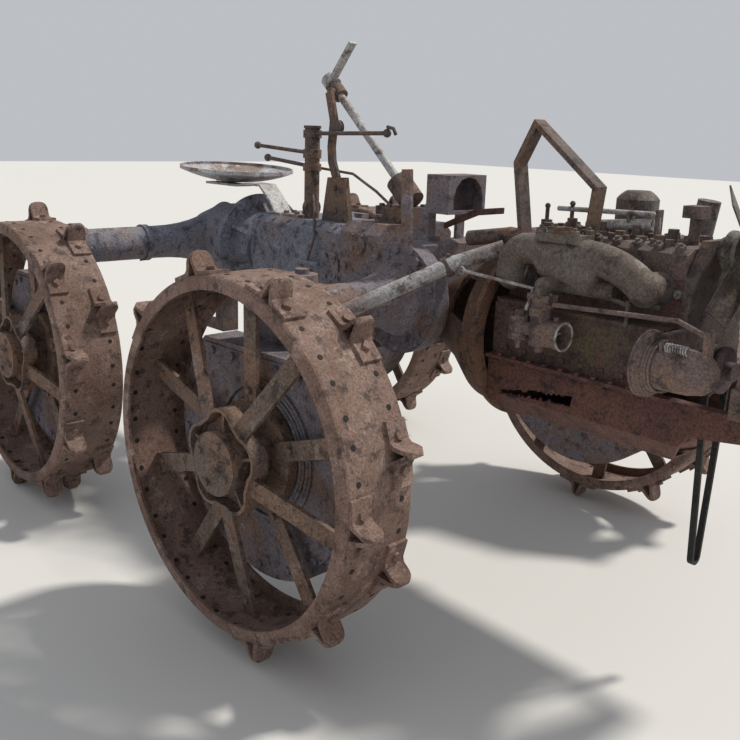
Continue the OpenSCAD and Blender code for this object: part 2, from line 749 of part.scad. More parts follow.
// Long brace tube from the kingpin boss of the axle up to the flange of the clutch housing
module side_tube() {
    tube = 22;
    end = [engine_x - 8, -150, 532];
    color(manifold_grey) place() difference() {
        union() {
            bent_bar([[front_tube_x + 50, -kingpin_y + 16, axle_rise - 30], [engine_x - 108, -242, 482], end],
                tube);
            bar(end, [engine_x - 8, -100, crank_rise + 175], 7);
        }
        translate([front_tube_x, -kingpin_y, axle_rise - 100]) cylinder(r = kingpin_boss_r, h = 200);
        translate([front_tube_x, 0, axle_rise]) rotate([90, 0, 0]) cylinder(r = tube_r, h = kingpin_y);
        translate([clutch_x, 0, crank_rise]) rotate([0, 90, 0]) cylinder(r = clutch_r + 8, h = 400);
    }
}

// Upright flat bar bolted to the flange of the right axle tube
module side_bar() {
    y = -front_flange_y;
    low = axle_rise + 140;
    color(rust) place() along_y(y - 12, y) polygon([[front_tube_x + 26, low + 14], [front_tube_x + 68, low - 1],
        [front_tube_x + 53, low + 247], [front_tube_x + 17, low + 245]]);
}

module lever_post() {
    x = -752;
    y = -60;
    z = rear_case_top;
    ball = 14;
    color(rust_dark) place() {
        translate([x, y, z]) cylinder(r = post_r, h = post_h);
        for (row = [[post_h - 20, 392, 9, 0], [post_h - 89, -351, 18, 8], [post_h - 134, -262, 20, -8]]) {
            tip = [x + row[1], y + row[3], z + row[0] + row[2]];
            bar([x, y + row[3], z + row[0]], tip, 7);
            translate(tip) sphere(r = ball);
        }
    }
}

// Puts a shape on the steering shaft, whose axis runs along Z
module on_shaft(s) {
    translate([shaft_low_x, 0, shaft_low_z]) rotate([0, shaft_tilt - 90, 0]) translate([0, 0, s]) children();
}

// Cast strut that carries the upper end of the steering shaft in a collar
module column_strut() {
    y = -40;
    at = shaft_len - 40;
    x = shaft_low_x - at * cos(shaft_tilt);
    z = shaft_low_z + at * sin(shaft_tilt);
    foot = rear_case_top;
    color(rust_dark) place() difference() {
        union() {
            strap([[x, z], [x + 28, z - 96], [x + 17, z - 186], [x + 22, z - 236], [x + 84, foot + 70],
                [x + 118, foot]], 34, y - 6, y + 6);
            translate([x + 50, y - 8, z - 118]) rotate([-90, 0, 0]) cylinder(r = 24, h = 16);
            along_y(y - 22, y - 3) polygon([[-690, foot], [-540, foot], [-567, foot + 155], [-661, foot + 151]]);
            on_shaft(at - 20) cylinder(r = 27, h = 40);
            bar([x, y, z], [x, -22, z], 15);
        }
        on_shaft(at - 40) cylinder(r = shaft_r + play, h = 80);
        translate([x, y - 30, foot - 60]) cube([300, 60, 60]);
    }
}

module steering_box() {
    base_h = 51;
    color(rust_dark) place() difference() {
        union() {
            translate([shaft_low_x - 60, -64, box_base]) cube([130, 128, base_h]);
            on_shaft(-66) cylinder(r = 42, h = 96);
        }
        on_shaft(-46) cylinder(r = shaft_r + play, h = 120);
        translate([shaft_low_x - 100, -100, box_base - 60]) cube([300, 200, 60]);
    }
}

module steering_shaft() {
    color(case_grey) place() {
        on_shaft(-44) cylinder(r = shaft_r, h = shaft_len + 44);
        on_shaft(shaft_len - 2) cylinder(r = 30, h = 34);
        on_shaft(shaft_len + 8) translate([20, -14, 0]) cube([150, 28, 12]);
    }
}

module seat() {
    x = -1330;
    z = rear_case_top + spring_t + spring_rise - 9;
    w = seat_w / 2;
    r = (w * w + seat_dip * seat_dip) / (2 * seat_dip);
    end = asin(w / r);
    tilt = 3;
    color(rust) place() translate([x, 0, z]) rotate([0, tilt, 0]) difference() {
        rotate_extrude($fn = 72) polygon(concat([[0, 0]], arc(0, r, r, -90 + end / 6, -90 + end, 5),
            [[w, seat_dip + 14], [w - seat_t, seat_dip + 14]], arc(0, r, r - seat_t, -90 + end, -90 + end / 6, 5),
            [[0, seat_t]]));
        for (k = [0 : 2]) rotate(60 + k * 60) translate([w * 0.42, -7, -1]) cube([w * 0.3, 14, seat_dip]);
    }
}

module seat_spring() {
    t = spring_t;
    y = -60;
    z = rear_case_top + t / 2;
    top = z + spring_rise;
    x = -785;
    color(case_grey) place() strap([[x, z], [x - 145, z], [x - 173, z + 38], [x - 245, top], [x - 335, top],
        [x - 405, top - 10], [x - 625, top - 10]], t, y - spring_w / 2, y + spring_w / 2);
}

// Formed steel frame below the engine, a trough with flanges turned out at the top
module engine_frame() {
    w = crankcase_w / 2 + 8;
    low_w = w - 62;
    t = frame_t;
    x1 = nose_reach - 60;
    z0 = sump_rise - frame_h;
    color(frame_brown) place() difference() {
        union() {
            along_x(engine_x, x1) polygon([[-w - 22, sump_rise - t], [-w, sump_rise - t], [-w, z0 + 60],
                [-low_w, z0], [low_w, z0], [w, z0 + 60], [w, sump_rise - t], [w + 22, sump_rise - t],
                [w + 22, sump_rise], [w - t, sump_rise], [w - t, z0 + 64], [low_w - 4, z0 + t],
                [4 - low_w, z0 + t], [t - w, z0 + 64], [t - w, sump_rise], [-w - 22, sump_rise]]);
            along_x(engine_x, engine_x + t) polygon([[-w, sump_rise], [-w, z0 + 60], [-low_w, z0],
                [low_w, z0], [w, z0 + 60], [w, sump_rise]]);
        }
        along_y(-w - 40, w + 40) polygon([[engine_front_x + 20, z0 - 1], [engine_front_x + 90, z0 + 90],
            [x1 + 1, z0 + 110], [x1 + 1, z0 - 1]]);
        along_y(-w - 5, -w + t + 8) polygon([[engine_x + 46, z0 + 63], [engine_x + 284, z0 + 81],
            [engine_x + 289, z0 + 111], [engine_x + 160, z0 + 98], [engine_x + 44, z0 + 74]]);
    }
}

module engine_block() {
    w = crankcase_w / 2;
    b = block_w / 2;
    color(rust) place() union() {
        along_x(engine_x, engine_front_x) polygon([[-w, sump_rise], [w, sump_rise], [w, deck_rise - 34],
            [b + 14, deck_rise], [b, deck_rise], [b, head_rise], [-b, head_rise], [-b, deck_rise],
            [-w + 6, deck_rise], [-w + 6, deck_rise - 14], [-w, deck_rise - 14]]);
    }
}

// Section of the cylinder head, with its bevelled top edges
module head_section() {
    w = head_w / 2;
    polygon([[-w, head_rise], [w, head_rise], [w, head_top - 14], [w - 24, head_top], [24 - w, head_top],
        [-w, head_top - 14]]);
}

module cylinder_head() {
    w = head_w / 2;
    inset = 34;
    plug_y = -8;
    color(rust) place() {
        along_x(engine_x + 2, engine_front_x - 2) head_section();
        for (i = [0 : 4]) for (s = [-1, 1]) translate([engine_x + 130 + i * 82, s * (w - inset), head_top - 1])
            cylinder(r = 13, h = 17, $fn = 6);
        for (i = [0 : 3]) translate([engine_x + 110 + i * 104, plug_y, head_top - 1]) cylinder(r = 14, h = 35);
        translate([engine_front_x - 60, 0, head_top - 1]) cylinder(r = 14, h = 68);
        translate([engine_front_x - 84, -26, head_top + 66]) cube([48, 52, 30]);
    }
}

// Exhaust log with an arm bent down to the block at each end and an outlet flange on top
module exhaust_manifold() {
    y = -block_w / 2 - 66;
    z = deck_rise + 148;
    x0 = engine_x + 112;
    x1 = engine_x + 297;
    bend = 54;
    drop = 20;
    sweep = 276;
    turn = 38.8;
    low = z - bend - drop;
    end = [x1 + sweep * sin(turn), y, z - sweep + sweep * cos(turn)];
    color(manifold_grey) place() {
        translate([x0, y, z]) rotate([0, 90, 0]) cylinder(r = exhaust_r, h = x1 - x0);
        translate([x0, y, z - bend]) rotate([90, 0, 180]) rotate_extrude(angle = 90)
            translate([bend, 0]) circle(r = exhaust_r);
        translate([x0 - bend, y, low]) cylinder(r = exhaust_r, h = drop);
        translate([x0 - bend, y, low]) sphere(r = exhaust_r * joint_swell);
        translate([x0 - bend, y, low]) rotate([-90, 0, 0]) cylinder(r = exhaust_r, h = -block_w / 2 - y);
        translate([x1, y, z]) rotate([0, 90, 0]) sphere(r = exhaust_r * joint_swell);
        translate([x1, y, z - sweep]) rotate([90, 0, 0]) rotate([0, 0, 90 - turn]) rotate_extrude(angle = turn)
            translate([sweep, 0]) circle(r = exhaust_r);
        translate(end) sphere(r = exhaust_r * joint_swell);
        translate(end) rotate([-90, 0, 0]) cylinder(r = exhaust_r, h = -block_w / 2 - y);
        translate([x0 + 47, y - 40, z + exhaust_r - 12]) cube([130, 76, 22]);
        translate([x0 + 82, y - 34, z + exhaust_r + 8]) cube([60, 64, 10]);
    }
}

// Intake log below the exhaust, with the elbow that stands on the carburettor
module intake_manifold() {
    y = -block_w / 2;
    z = intake_z;
    xe = carb_x;
    color(rust_orange) place() {
        bar([xe - 20, y - 44, z], [xe + 164, y - 44, z], 25);
        for (x = [xe + 20, xe + 138]) bar([x, y - 44, z], [x, y, z], 20);
        bent_bar([[xe, carb_y, carb_top], [xe, carb_y, z], [xe, y - 44, z]], 21);
        translate([xe - 34, carb_y - 20, carb_top]) cube([68, 40, 8]);
    }
}

// Carburettor with its float bowl behind and its round air intake in front
module carburettor() {
    y = carb_y;
    x = carb_x;
    z = sump_rise + 105;
    color(manifold_grey) place() difference() {
        union() {
            bar([x, y, z - 35], [x, y, carb_top], 27);
            bar([x, y, z + 2], [x - 60, y, z + 2], 18);
            translate([x - 69, y, z - 29]) cylinder(r = 28, h = 62);
            translate([x - 69, y, z - 41]) cylinder(r = 9, h = 14);
            bar([x, y, z], [carb_mouth_x, y, z], intake_r);
            translate([x - 34, y - 20, carb_top - 8]) cube([68, 40, 8]);
        }
        bar([x + 12, y, z], [carb_mouth_x + 10, y, z], intake_r - intake_wall);
    }
}

module governor() {
    y = -crankcase_w / 2 - 86;
    z = sump_rise + 92;
    x = engine_front_x + 10;
    plate_x = engine_front_x + 22;
    color(rust) place() {
        translate([0, y, 0]) turned_x(z) polygon([[0, x], [76, x], [76, x + 16], [66, x + 20], [62, x + 30],
            [54, x + 36], [52, x + 110], [43, x + 148], [25, x + 166], [0, x + 169]]);
        translate([plate_x, y + 20, z - 70]) cube([20, 128, 140]);
        translate([x + 138, y - 18, z + 24]) cube([14, 26, 78]);
        bent_bar([[carb_x + 50, y - 6, z + 94], [x + 67, y - 6, z + 112], [x + 142, y - 6, z + 88]], 6);
    }
}

module front_plate() {
    w = block_w / 2;
    color(rust_dark) place() {
        along_x(engine_front_x, engine_front_x + 22) polygon([[-w - 24, sump_rise], [w + 24, sump_rise],
            [w, head_rise], [70, head_top + 20], [-70, head_top + 20], [-w, head_rise]]);
        translate([engine_front_x + 21, 0, crank_rise]) rotate([0, 90, 0]) cylinder(r = 78, h = 9);
        translate([engine_front_x + 21, 0, fan_rise]) rotate([0, 90, 0]) cylinder(r = 34, h = 13);
        translate([engine_front_x + 30, 0, fan_rise]) rotate([0, 90, 0]) cylinder(r = fan_shaft_r, h = 120);
    }
}

// Round tilted case on the left side of the block
module distributor() {
    y = block_w / 2 + 40;
    color(case_grey) place() {
        bar([630, y, head_rise - 50], [662, y, head_top + 100], 30);
        translate([600, block_w / 2, head_rise - 70]) cube([64, 34, 56]);
    }
}

// Round air cleaner with a domed top, bracketed to the left side of the block
module breather_dome() {
    y = block_w / 2 + 76;
    color(manifold_grey) place() {
        translate([425, y, head_rise - 30]) cylinder(r = 60, h = 158);
        translate([425, y, head_rise + 120]) intersection() {
            sphere(r = 72);
            translate([-80, -80, 0]) cube([160, 160, 64]);
            cylinder(r = 60, h = 80);
        }
        translate([395, block_w / 2, head_rise - 60]) cube([60, 46, 50]);
    }
}

module fan() {
    x = engine_front_x + 34 + gap;
    color(rust_dark) place() difference() {
        union() {
            turned_x(fan_rise) polygon([[0, x], [52, x], [52, x + 8], [40, x + 18], [52, x + 28], [52, x + 36],
                [30, x + 42], [30, x + 74], [0, x + 74]]);
            for (k = [0 : 3]) translate([x + 56, 0, fan_rise]) rotate([45 + k * 90, 0, 0])
                translate([0, 0, 20]) rotate([0, 0, 30]) translate([-2, -34, 0]) cube([4, 68, fan_r - 24]);
        }
        translate([x - 1, 0, fan_rise]) rotate([0, 90, 0]) cylinder(r = fan_shaft_r + play, h = 90);
    }
}

module crank_pulley() {
    x = engine_front_x + 30;
    color(rust_dark) place() turned_x(crank_rise) polygon([[0, x], [60, x], [60, x + 8], [belt_seat_r, x + 9],
        [belt_seat_r, x + 27], [60, x + 28], [60, x + 36], [24, x + 40], [24, x + 62], [0, x + 62]]);
}

// Outline that a belt of radius r0 at the pulley and r1 at its low end encloses
module belt_line(r0, r1, hang) {
    a = asin((r0 - r1) / hang);
    polygon(concat(arc(0, crank_rise, r0, -a, 180 + a, 24), arc(0, crank_rise - hang, r1, 180 + a, 360 - a, 12)));
}

// Slack belt that hangs on the crankshaft pulley
module fan_belt() {
    x = engine_front_x + 40;
    hang = 513;
    low_r = 12;
    t = 9;
    color([0.08, 0.08, 0.08]) place() difference() {
        along_x(x, x + 16) belt_line(belt_seat_r + t, low_r + t, hang);
        along_x(x - 1, x + 17) belt_line(belt_seat_r + play, low_r, hang);
    }
}

module radiator() {
    w = radiator_w / 2;
    x0 = radiator_x;
    foot = radiator_foot;
    z0 = sump_rise;
    z1 = head_top + 130;
    color(rust_dark) place() {
        translate([x0, -w, z0 + 70]) cube([radiator_t, 2 * w, z1 - z0 - 170]);
        translate([x0 - foot, -w - 6, z0]) cube([radiator_t + 2 * foot, 2 * w + 12, 70]);
        translate([x0 - foot, -w - 6, z1 - 100]) cube([radiator_t + 2 * foot, 2 * w + 12, 100]);
        translate([x0 + 36, 0, z1]) cylinder(r = 40, h = 22);
    }
}

module drawbar() {
    x0 = rear_tube_x - 440;
    x1 = rear_tube_x + 30;
    z = -20;
    color(rust) place() difference() {
        union() {
            translate([x0, -38, z]) cube([x1 - x0, 76, drawbar_t]);
            translate([x1 - 60, -38, z]) cube([60, 76, drawbar_top - z]);
        }
        translate([x0 + 45, 0, z - 1]) cylinder(r = pin_hole_r, h = drawbar_t + 2);
    }
}

module front_wheel(left) {
    place() steered(left) wheel_place(front_axle_x, left) children();
}

module rear_wheel(left) {
    place() wheel_place(rear_tube_x, left) children();
}

engine_frame();
engine_block();
cylinder_head();
exhaust_manifold();
intake_manifold();
carburettor();
governor();
front_plate();
distributor();
breather_dome();
radiator();
crank_pulley();
fan_belt();
clutch_housing();
hood_bracket();
hood_strap();
water_outlet();
transmission_case();
front_axle_housing();
side_tube();
side_bar();
joint_plate();
rear_case();
rear_axle_housing();
rear_gear_case(false);  // rear_gear_case_right
rear_gear_case(true);  // rear_gear_case_left
seat();
seat_spring();
lever_post();
column_strut();
steering_box();
drawbar();
front_gear_case(false);  // front_gear_case_right
front_gear_case(true);  // front_gear_case_left
tie_rod();
steering_shaft();
fan();
front_wheel(false)  // rim_front_right
    rim([3, 4, 5, 7, 8, 9], [3, 5, 6, 7], front_lug_h, -front_lug_turn);
front_wheel(true)  // rim_front_left
    rim([0, 1, 2, 4, 5, 6, 7, 9], [0, 1, 3, 4, 6, 7, 8, 9], front_lug_h, -front_lug_turn);
rear_wheel(false)  // rim_rear_right
    rim([0, 1, 2, 3, 4, 5, 6, 9], [0, 2, 3, 4, 6, 7, 8, 9]);
rear_wheel(true)  // rim_rear_left
    rim([0, 1, 2, 3, 4, 6, 7, 8, 9], [0, 1, 2, 3, 5, 6, 7, 8, 9]);
front_wheel(false) spider();  // spider_front_right
front_wheel(true) spider();  // spider_front_left
rear_wheel(false) spider();  // spider_rear_right
rear_wheel(true) spider();  // spider_rear_left
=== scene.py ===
import json
import math
import random

import bmesh
import bpy
from mathutils import Matrix, Vector


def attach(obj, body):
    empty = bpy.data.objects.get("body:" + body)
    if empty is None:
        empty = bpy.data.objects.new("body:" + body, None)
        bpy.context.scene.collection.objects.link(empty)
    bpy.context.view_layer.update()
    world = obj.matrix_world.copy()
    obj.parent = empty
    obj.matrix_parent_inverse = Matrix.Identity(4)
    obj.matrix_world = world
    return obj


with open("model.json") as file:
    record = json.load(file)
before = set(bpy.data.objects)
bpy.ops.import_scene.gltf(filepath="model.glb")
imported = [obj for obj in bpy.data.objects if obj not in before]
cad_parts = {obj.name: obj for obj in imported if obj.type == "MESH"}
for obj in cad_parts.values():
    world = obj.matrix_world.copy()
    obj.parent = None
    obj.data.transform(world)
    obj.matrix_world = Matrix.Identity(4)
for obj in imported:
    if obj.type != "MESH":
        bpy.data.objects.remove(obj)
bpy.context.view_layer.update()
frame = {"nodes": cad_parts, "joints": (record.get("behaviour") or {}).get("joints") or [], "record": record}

# Places are in millimetres from the middle of the right front wheel's outer face, at the height of the
# wheel axles and in the tractor's middle plane, as in the part's source
NODES = frame["nodes"]
JOINTS = {joint["name"]: joint for joint in frame["joints"]}
REAR_AXLE = Vector(JOINTS["wheel_spin_rear_right"]["pos_m"])
KINGPIN = Vector(JOINTS["steer_right"]["pos_m"])
OTHER_KINGPIN = Vector(JOINTS["steer_left"]["pos_m"])
WHEELBASE = 1397
KINGPIN_LEAD = 82
FRONT_TUBE_X = -100
STEER_REST = math.radians(3)
ORIGIN = Vector((KINGPIN.x - FRONT_TUBE_X / 1000, (KINGPIN.y + OTHER_KINGPIN.y) / 2, REAR_AXLE.z))
FRONT_AXLE_X = FRONT_TUBE_X + KINGPIN_LEAD
REAR_TUBE_X = FRONT_AXLE_X - WHEELBASE
KINGPIN_Y = (OTHER_KINGPIN.y - KINGPIN.y) * 500
FACE_Y = 946
CHASSIS = Matrix.Translation(ORIGIN) @ Matrix.Scale(0.001, 4)

# Camera at the photograph's place, for a picture of 740 by 740
CAMERA_AT = ORIGIN + Vector((1.8817, -2.120, 0.8354))
CAMERA_YAW = math.radians(138.02)
CAMERA_DOWN = math.radians(14.76)
CAMERA_ROLL = math.radians(1.755)
FOCAL_PIXELS = 906.8
PICTURE_PIXELS = 740
SENSOR_MM = 36


def make_camera():
    data = bpy.data.cameras.new("camera")
    data.sensor_width = SENSOR_MM
    data.lens = FOCAL_PIXELS / PICTURE_PIXELS * SENSOR_MM
    data.clip_start = 0.05
    data.clip_end = 100
    ahead = Vector((math.cos(CAMERA_YAW) * math.cos(CAMERA_DOWN),
                    math.sin(CAMERA_YAW) * math.cos(CAMERA_DOWN), -math.sin(CAMERA_DOWN)))
    level_right = Vector((math.sin(CAMERA_YAW), -math.cos(CAMERA_YAW), 0))
    level_up = level_right.cross(ahead)
    right = math.cos(CAMERA_ROLL) * level_right + math.sin(CAMERA_ROLL) * level_up
    up = right.cross(ahead)
    camera = bpy.data.objects.new("camera", data)
    bpy.context.scene.collection.objects.link(camera)
    turned = Matrix((right, up, -ahead)).transposed().to_4x4()
    camera.matrix_world = Matrix.Translation(CAMERA_AT) @ turned
    bpy.context.scene.camera = camera


# Materials

def new_material(name):
    material = bpy.data.materials.new(name)
    material.use_nodes = True
    tree = material.node_tree
    return material, tree.nodes, tree.links, tree.nodes["Principled BSDF"]


# Scales of the noises that break up the colours, per metre, from large patches to grain
PATCH_SCALE = 5
PALE_SCALE = 13
PIT_SCALE = 24
GROWTH_SCALE = 30
GRAIN_SCALE = 160
GRAIN_SHARE = 0.8
BUMP_STRENGTH = 0.35
BUMP_HEIGHT = 0.004


def noise(nodes, links, coords, scale, detail, rough):
    node = nodes.new("ShaderNodeTexNoise")
    node.inputs["Scale"].default_value = scale
    node.inputs["Detail"].default_value = detail
    node.inputs["Roughness"].default_value = rough
    links.new(coords, node.inputs["Vector"])
    return node.outputs["Fac"]


def ramp(nodes, links, value, low, high, result_low=0.0, result_high=1.0):
    """The first result below low and the second above high."""
    node = nodes.new("ShaderNodeMapRange")
    node.inputs["From Min"].default_value = low
    node.inputs["From Max"].default_value = high
    node.inputs["To Min"].default_value = result_low
    node.inputs["To Max"].default_value = result_high
    links.new(value, node.inputs["Value"])
    return node.outputs["Result"]


def combine(nodes, links, operation, first, second):
    node = nodes.new("ShaderNodeMath")
    node.operation = operation
    links.new(first, node.inputs[0])
    links.new(second, node.inputs[1])
    return node.outputs[0]


def mix(nodes, links, share, first, second):
    """A colour between first and second; each is a colour or a socket."""
    node = nodes.new("ShaderNodeMix")
    node.data_type = "RGBA"
    links.new(share, node.inputs["Factor"])
    for socket, value in ((node.inputs[6], first), (node.inputs[7], second)):
        if isinstance(value, tuple):
            socket.default_value = (*value, 1)
        else:
            links.new(value, socket)
    return node.outputs[2]


def distance(nodes, links, coords, place):
    node = nodes.new("ShaderNodeVectorMath")
    node.operation = "DISTANCE"
    links.new(coords, node.inputs[0])
    node.inputs[1].default_value = place
    return node.outputs["Value"]


def worn(name, base, patch, dark, patch_share, rough=0.85, pale=None, spot=None):
    """Old iron: patches, dark pits and paler areas on a base colour, a rough skin and perhaps a grown spot."""
    material, nodes, links, shader = new_material(name)
    coords = nodes.new("ShaderNodeTexCoord").outputs["Object"]
    big = noise(nodes, links, coords, PATCH_SCALE, 5, 0.65)
    middle = noise(nodes, links, coords, PIT_SCALE, 6, 0.7)
    fine = noise(nodes, links, coords, GRAIN_SCALE, 3, 0.7)
    light = noise(nodes, links, coords, PALE_SCALE, 6, 0.75)
    edge = 0.5 + (0.5 - patch_share) * 0.35
    if pale is None:
        pale = tuple(1.35 * part for part in base)
    colour = mix(nodes, links, ramp(nodes, links, big, edge - 0.06, edge + 0.06), base, patch)
    colour = mix(nodes, links, ramp(nodes, links, middle, 0.52, 0.62), colour, dark)
    colour = mix(nodes, links, ramp(nodes, links, light, 0.56, 0.64), colour, pale)
    if spot:
        place, radius, growth = spot
        near = ramp(nodes, links, distance(nodes, links, coords, place), radius, radius * 0.35)
        broken = ramp(nodes, links, noise(nodes, links, coords, GROWTH_SCALE, 6, 0.75), 0.44, 0.58)
        colour = mix(nodes, links, combine(nodes, links, "MULTIPLY", near, broken), colour, growth)
    grain = nodes.new("ShaderNodeMix")
    grain.data_type = "RGBA"
    grain.blend_type = "MULTIPLY"
    grain.inputs["Factor"].default_value = GRAIN_SHARE
    links.new(colour, grain.inputs[6])
    links.new(ramp(nodes, links, fine, 0.3, 0.7, 0.35, 1.6), grain.inputs[7])
    links.new(grain.outputs[2], shader.inputs["Base Color"])
    shader.inputs["Roughness"].default_value = rough
    relief = nodes.new("ShaderNodeBump")
    relief.inputs["Strength"].default_value = BUMP_STRENGTH
    relief.inputs["Distance"].default_value = BUMP_HEIGHT
    links.new(combine(nodes, links, "ADD", middle, fine), relief.inputs["Height"])
    links.new(relief.outputs["Normal"], shader.inputs["Normal"])
    return material


# Lichen on the side of the crankcase; its radius is in metres
LICHEN_AT = (548, -182, 300)
LICHEN_R = 0.12


def spot_on(node, place):
    """A place of the chassis in the space of a CAD node."""
    return NODES[node].matrix_world.inverted() @ (CHASSIS @ Vector(place))


def make_materials():
    bpy.context.view_layer.update()
    return {
        "rim": worn("rim_rust", (0.205, 0.132, 0.107), (0.15, 0.088, 0.065), (0.078, 0.05, 0.042), 0.45,
                    pale=(0.27, 0.19, 0.155)),
        "spoke": worn("spoke_rust", (0.14, 0.10, 0.082), (0.19, 0.115, 0.08), (0.055, 0.04, 0.035), 0.5,
                      pale=(0.24, 0.18, 0.15)),
        "case": worn("case_rust", (0.165, 0.145, 0.165), (0.19, 0.125, 0.10), (0.085, 0.065, 0.065), 0.4),
        "grey": worn("grey_iron", (0.165, 0.17, 0.21), (0.20, 0.165, 0.165), (0.075, 0.07, 0.085), 0.35),
        "orange": worn("orange_rust", (0.095, 0.052, 0.034), (0.15, 0.078, 0.045),
                       (0.042, 0.027, 0.024), 0.45),
        "manifold": worn("manifold_iron", (0.165, 0.148, 0.13), (0.13, 0.098, 0.08),
                         (0.065, 0.052, 0.047), 0.5),
        "frame": worn("frame_brown", (0.105, 0.047, 0.040), (0.13, 0.06, 0.043), (0.048, 0.027, 0.026), 0.45),
        "block": worn("block_rust", (0.105, 0.058, 0.052), (0.09, 0.07, 0.048), (0.045, 0.032, 0.031), 0.4,
                      spot=(spot_on("engine_block", LICHEN_AT), LICHEN_R, (0.092, 0.08, 0.036))),
        "head": worn("head_rust", (0.16, 0.105, 0.105), (0.12, 0.09, 0.075), (0.06, 0.045, 0.045), 0.45),
        "dark": worn("dark_rust", (0.10, 0.075, 0.07), (0.16, 0.10, 0.07), (0.04, 0.033, 0.033), 0.45),
        "bright": worn("worn_steel", (0.36, 0.35, 0.35), (0.22, 0.17, 0.15), (0.12, 0.09, 0.08), 0.35,
                       rough=0.5),
        "seat": worn("seat_steel", (0.42, 0.42, 0.44), (0.27, 0.20, 0.16), (0.14, 0.10, 0.09), 0.35,
                     rough=0.5),
        "brown": worn("brown_iron", (0.15, 0.105, 0.095), (0.20, 0.13, 0.095), (0.065, 0.047, 0.045), 0.45),
        "pulley": worn("pulley_iron", (0.10, 0.07, 0.075), (0.15, 0.10, 0.09), (0.045, 0.035, 0.04), 0.45),
        # Near-black painted shade for discs that fill open holes: the rim's empty lug holes and the
        # carburettor's throat
        "hole": worn("painted_hole_shade", (0.012, 0.009, 0.008), (0.02, 0.014, 0.011), (0.005, 0.005, 0.005),
                     0.5),
        "rubber": worn("old_rubber", (0.02, 0.02, 0.02), (0.035, 0.033, 0.03), (0.01, 0.01, 0.01), 0.5),
    }


SLOT_LOOKS = {"frame_steel": "frame", "rusty_iron": "case", "manifold_iron": "manifold",
              "orange_iron": "orange", "grey_iron": "grey", "bright_steel": "bright", "rim_steel": "rim",
              "spoke_steel": "spoke", "dark_steel": "dark", "seat_steel": "seat", "belt_rubber": "rubber"}
OWN_LOOKS = {"engine_block": "block", "cylinder_head": "head", "crank_pulley": "pulley", "fan": "manifold",
             "carburettor": "brown", "governor": "brown", "intake_manifold": "manifold"}


def paint_nodes(looks):
    """Gives every CAD node the look of its slot, or its own."""
    for row in frame["record"]["subparts"]:
        node = NODES[row["node"]]
        look = OWN_LOOKS.get(row["node"], SLOT_LOOKS[row["material_slot"]])
        node.data.materials.clear()
        node.data.materials.append(looks[look])


class Piece:
    """Simple solids gathered into one object, with sizes and places in millimetres of its own space."""

    def __init__(self, name, look, slot, body="chassis", space=None):
        self.name, self.look, self.slot, self.body = name, look, slot, body
        self.space = space or CHASSIS
        self.mesh = bmesh.new()

    def rod(self, start, end, r, sides=12):
        start, end = Vector(start), Vector(end)
        along = end - start
        turn = along.to_track_quat("Z", "Y").to_matrix().to_4x4()
        bmesh.ops.create_cone(self.mesh, cap_ends=True, segments=sides, radius1=r, radius2=r,
                              depth=along.length, matrix=Matrix.Translation((start + end) / 2) @ turn)

    def nut(self, at, axis, r=11, h=9, sides=6):
        at, axis = Vector(at), Vector(axis).normalized()
        self.rod(at - axis, at + axis * h, r, sides)

    def stud(self, at, axis, r=11, h=9):
        """A nut with the end of its stud."""
        self.nut(at, axis, r, h)
        self.rod(at, Vector(at) + Vector(axis).normalized() * (h + 7), r * 0.45, 8)

    def ball(self, at, r):
        bmesh.ops.create_uvsphere(self.mesh, u_segments=12, v_segments=8, radius=r,
                                  matrix=Matrix.Translation(at))

    def box(self, low, high):
        low, high = Vector(low), Vector(high)
        size = Matrix.Diagonal((*(high - low), 1))
        bmesh.ops.create_cube(self.mesh, size=1, matrix=Matrix.Translation((low + high) / 2) @ size)

    def tube(self, points, r, sides=10, closed=False):
        """A round bar along a list of points."""
        points = [Vector(p) for p in points]
        count = len(points)
        rings = []
        side = None
        for i, point in enumerate(points):
            before = points[i - 1] if closed or i else point
            after = points[(i + 1) % count] if closed or i < count - 1 else point
            along = (after - before).normalized()
            if side is None:
                side = along.orthogonal().normalized()
            side = (side - along * side.dot(along)).normalized()
            up = along.cross(side)
            rings.append([self.mesh.verts.new(point + r * (math.cos(a) * side + math.sin(a) * up))
                          for a in (math.tau * k / sides for k in range(sides))])
        for i in range(count if closed else count - 1):
            one, two = rings[i], rings[(i + 1) % count]
            for k in range(sides):
                self.mesh.faces.new((one[k], one[(k + 1) % sides], two[(k + 1) % sides], two[k]))
        if not closed:
            self.mesh.faces.new(rings[0])
            self.mesh.faces.new(rings[-1])

    def slab(self, outline, y0, y1):
        """An outline of (X, Z) points between two heights of Y."""
        near = [self.mesh.verts.new((x, y0, z)) for x, z in outline]
        far = [self.mesh.verts.new((x, y1, z)) for x, z in outline]
        self.mesh.faces.new(near)
        self.mesh.faces.new(far)
        for i in range(len(outline)):
            j = (i + 1) % len(outline)
            self.mesh.faces.new((near[i], near[j], far[j], far[i]))

    def done(self, bevel=0.0, smooth=True):
        bmesh.ops.recalc_face_normals(self.mesh, faces=self.mesh.faces)
        bmesh.ops.transform(self.mesh, matrix=self.space, verts=self.mesh.verts)
        if self.space.determinant() < 0:
            bmesh.ops.reverse_faces(self.mesh, faces=self.mesh.faces)
        mesh = bpy.data.meshes.new(self.name)
        self.mesh.to_mesh(mesh)
        self.mesh.free()
        piece = bpy.data.objects.new(self.name, mesh)
        bpy.context.scene.collection.objects.link(piece)
        mesh.materials.append(LOOKS[self.look])
        if smooth:
            mesh.shade_smooth()
            mesh.set_sharp_from_angle(angle=math.radians(40))
        if bevel:
            rounding = piece.modifiers.new("rounding", "BEVEL")
            rounding.width = bevel / 1000
            rounding.segments = 2
            rounding.limit_method = "ANGLE"
        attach(piece, self.body)
        return piece


def around(count):
    """Angles of a full turn in equal steps."""
    return [math.tau * k / count for k in range(count)]


